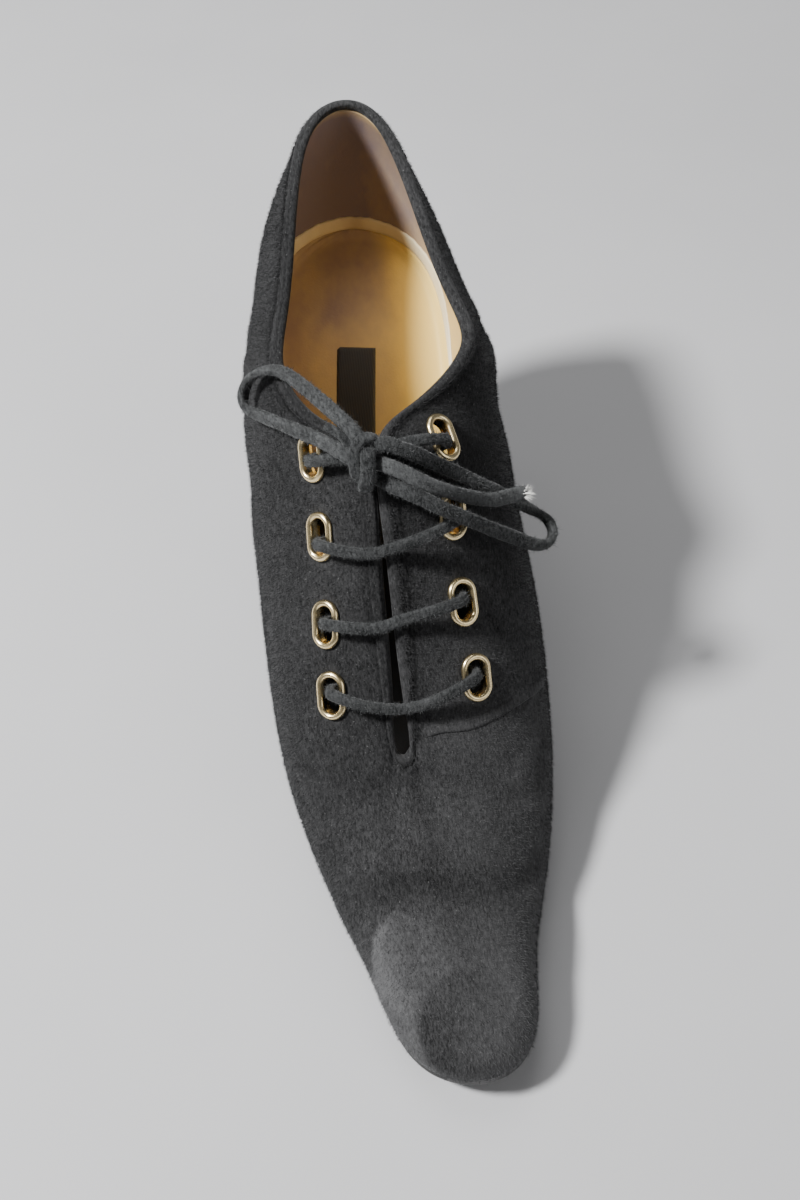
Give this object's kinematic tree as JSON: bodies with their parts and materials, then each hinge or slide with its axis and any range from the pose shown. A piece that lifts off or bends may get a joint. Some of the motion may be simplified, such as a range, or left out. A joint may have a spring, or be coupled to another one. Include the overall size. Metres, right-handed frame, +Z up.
{
  "type": "high heel shoe",
  "caption": "Right lace-up suede court shoe with a long squared toe, a slit front closed by a bow over oval eyelets, an arched sole and a high covered heel.",
  "frame": {"origin": "on the floor under the middle of the shoe's length and width", "axes": "+Z up, -Y towards the toe, +Y towards the heel, +X towards the inner side of a right foot"},
  "size_m": [0.0788, 0.2468, 0.1219],
  "materials": {
    "black_suede": "matt brushed nap",
    "black_sole_leather": "satin edge",
    "tan_sock_leather": "smooth satin",
    "black_rubber": "matt",
    "pale_gold": "polished",
    "charcoal_lace": "matt nap"
  },
  "bodies": {
    "root": {"upper": "black_suede", "outsole": "black_sole_leather", "insole": "tan_sock_leather", "heel": "black_suede", "heel_tip": "black_rubber", "eyelet_lateral_1": "pale_gold", "eyelet_lateral_2": "pale_gold", "eyelet_lateral_3": "pale_gold", "eyelet_lateral_4": "pale_gold", "eyelet_medial_1": "pale_gold", "eyelet_medial_2": "pale_gold", "eyelet_medial_3": "pale_gold", "eyelet_medial_4": "pale_gold", "lace_bar_1_lateral": "charcoal_lace", "lace_bar_1_medial": "charcoal_lace", "lace_bar_2": "charcoal_lace", "lace_bar_3": "charcoal_lace", "lace_bar_4": "charcoal_lace", "lace_knot": "charcoal_lace", "lace_loop_lateral": "charcoal_lace", "lace_loop_medial": "charcoal_lace", "lace_end_lateral": "charcoal_lace", "lace_end_medial": "charcoal_lace"}
  },
  "joints": []
}
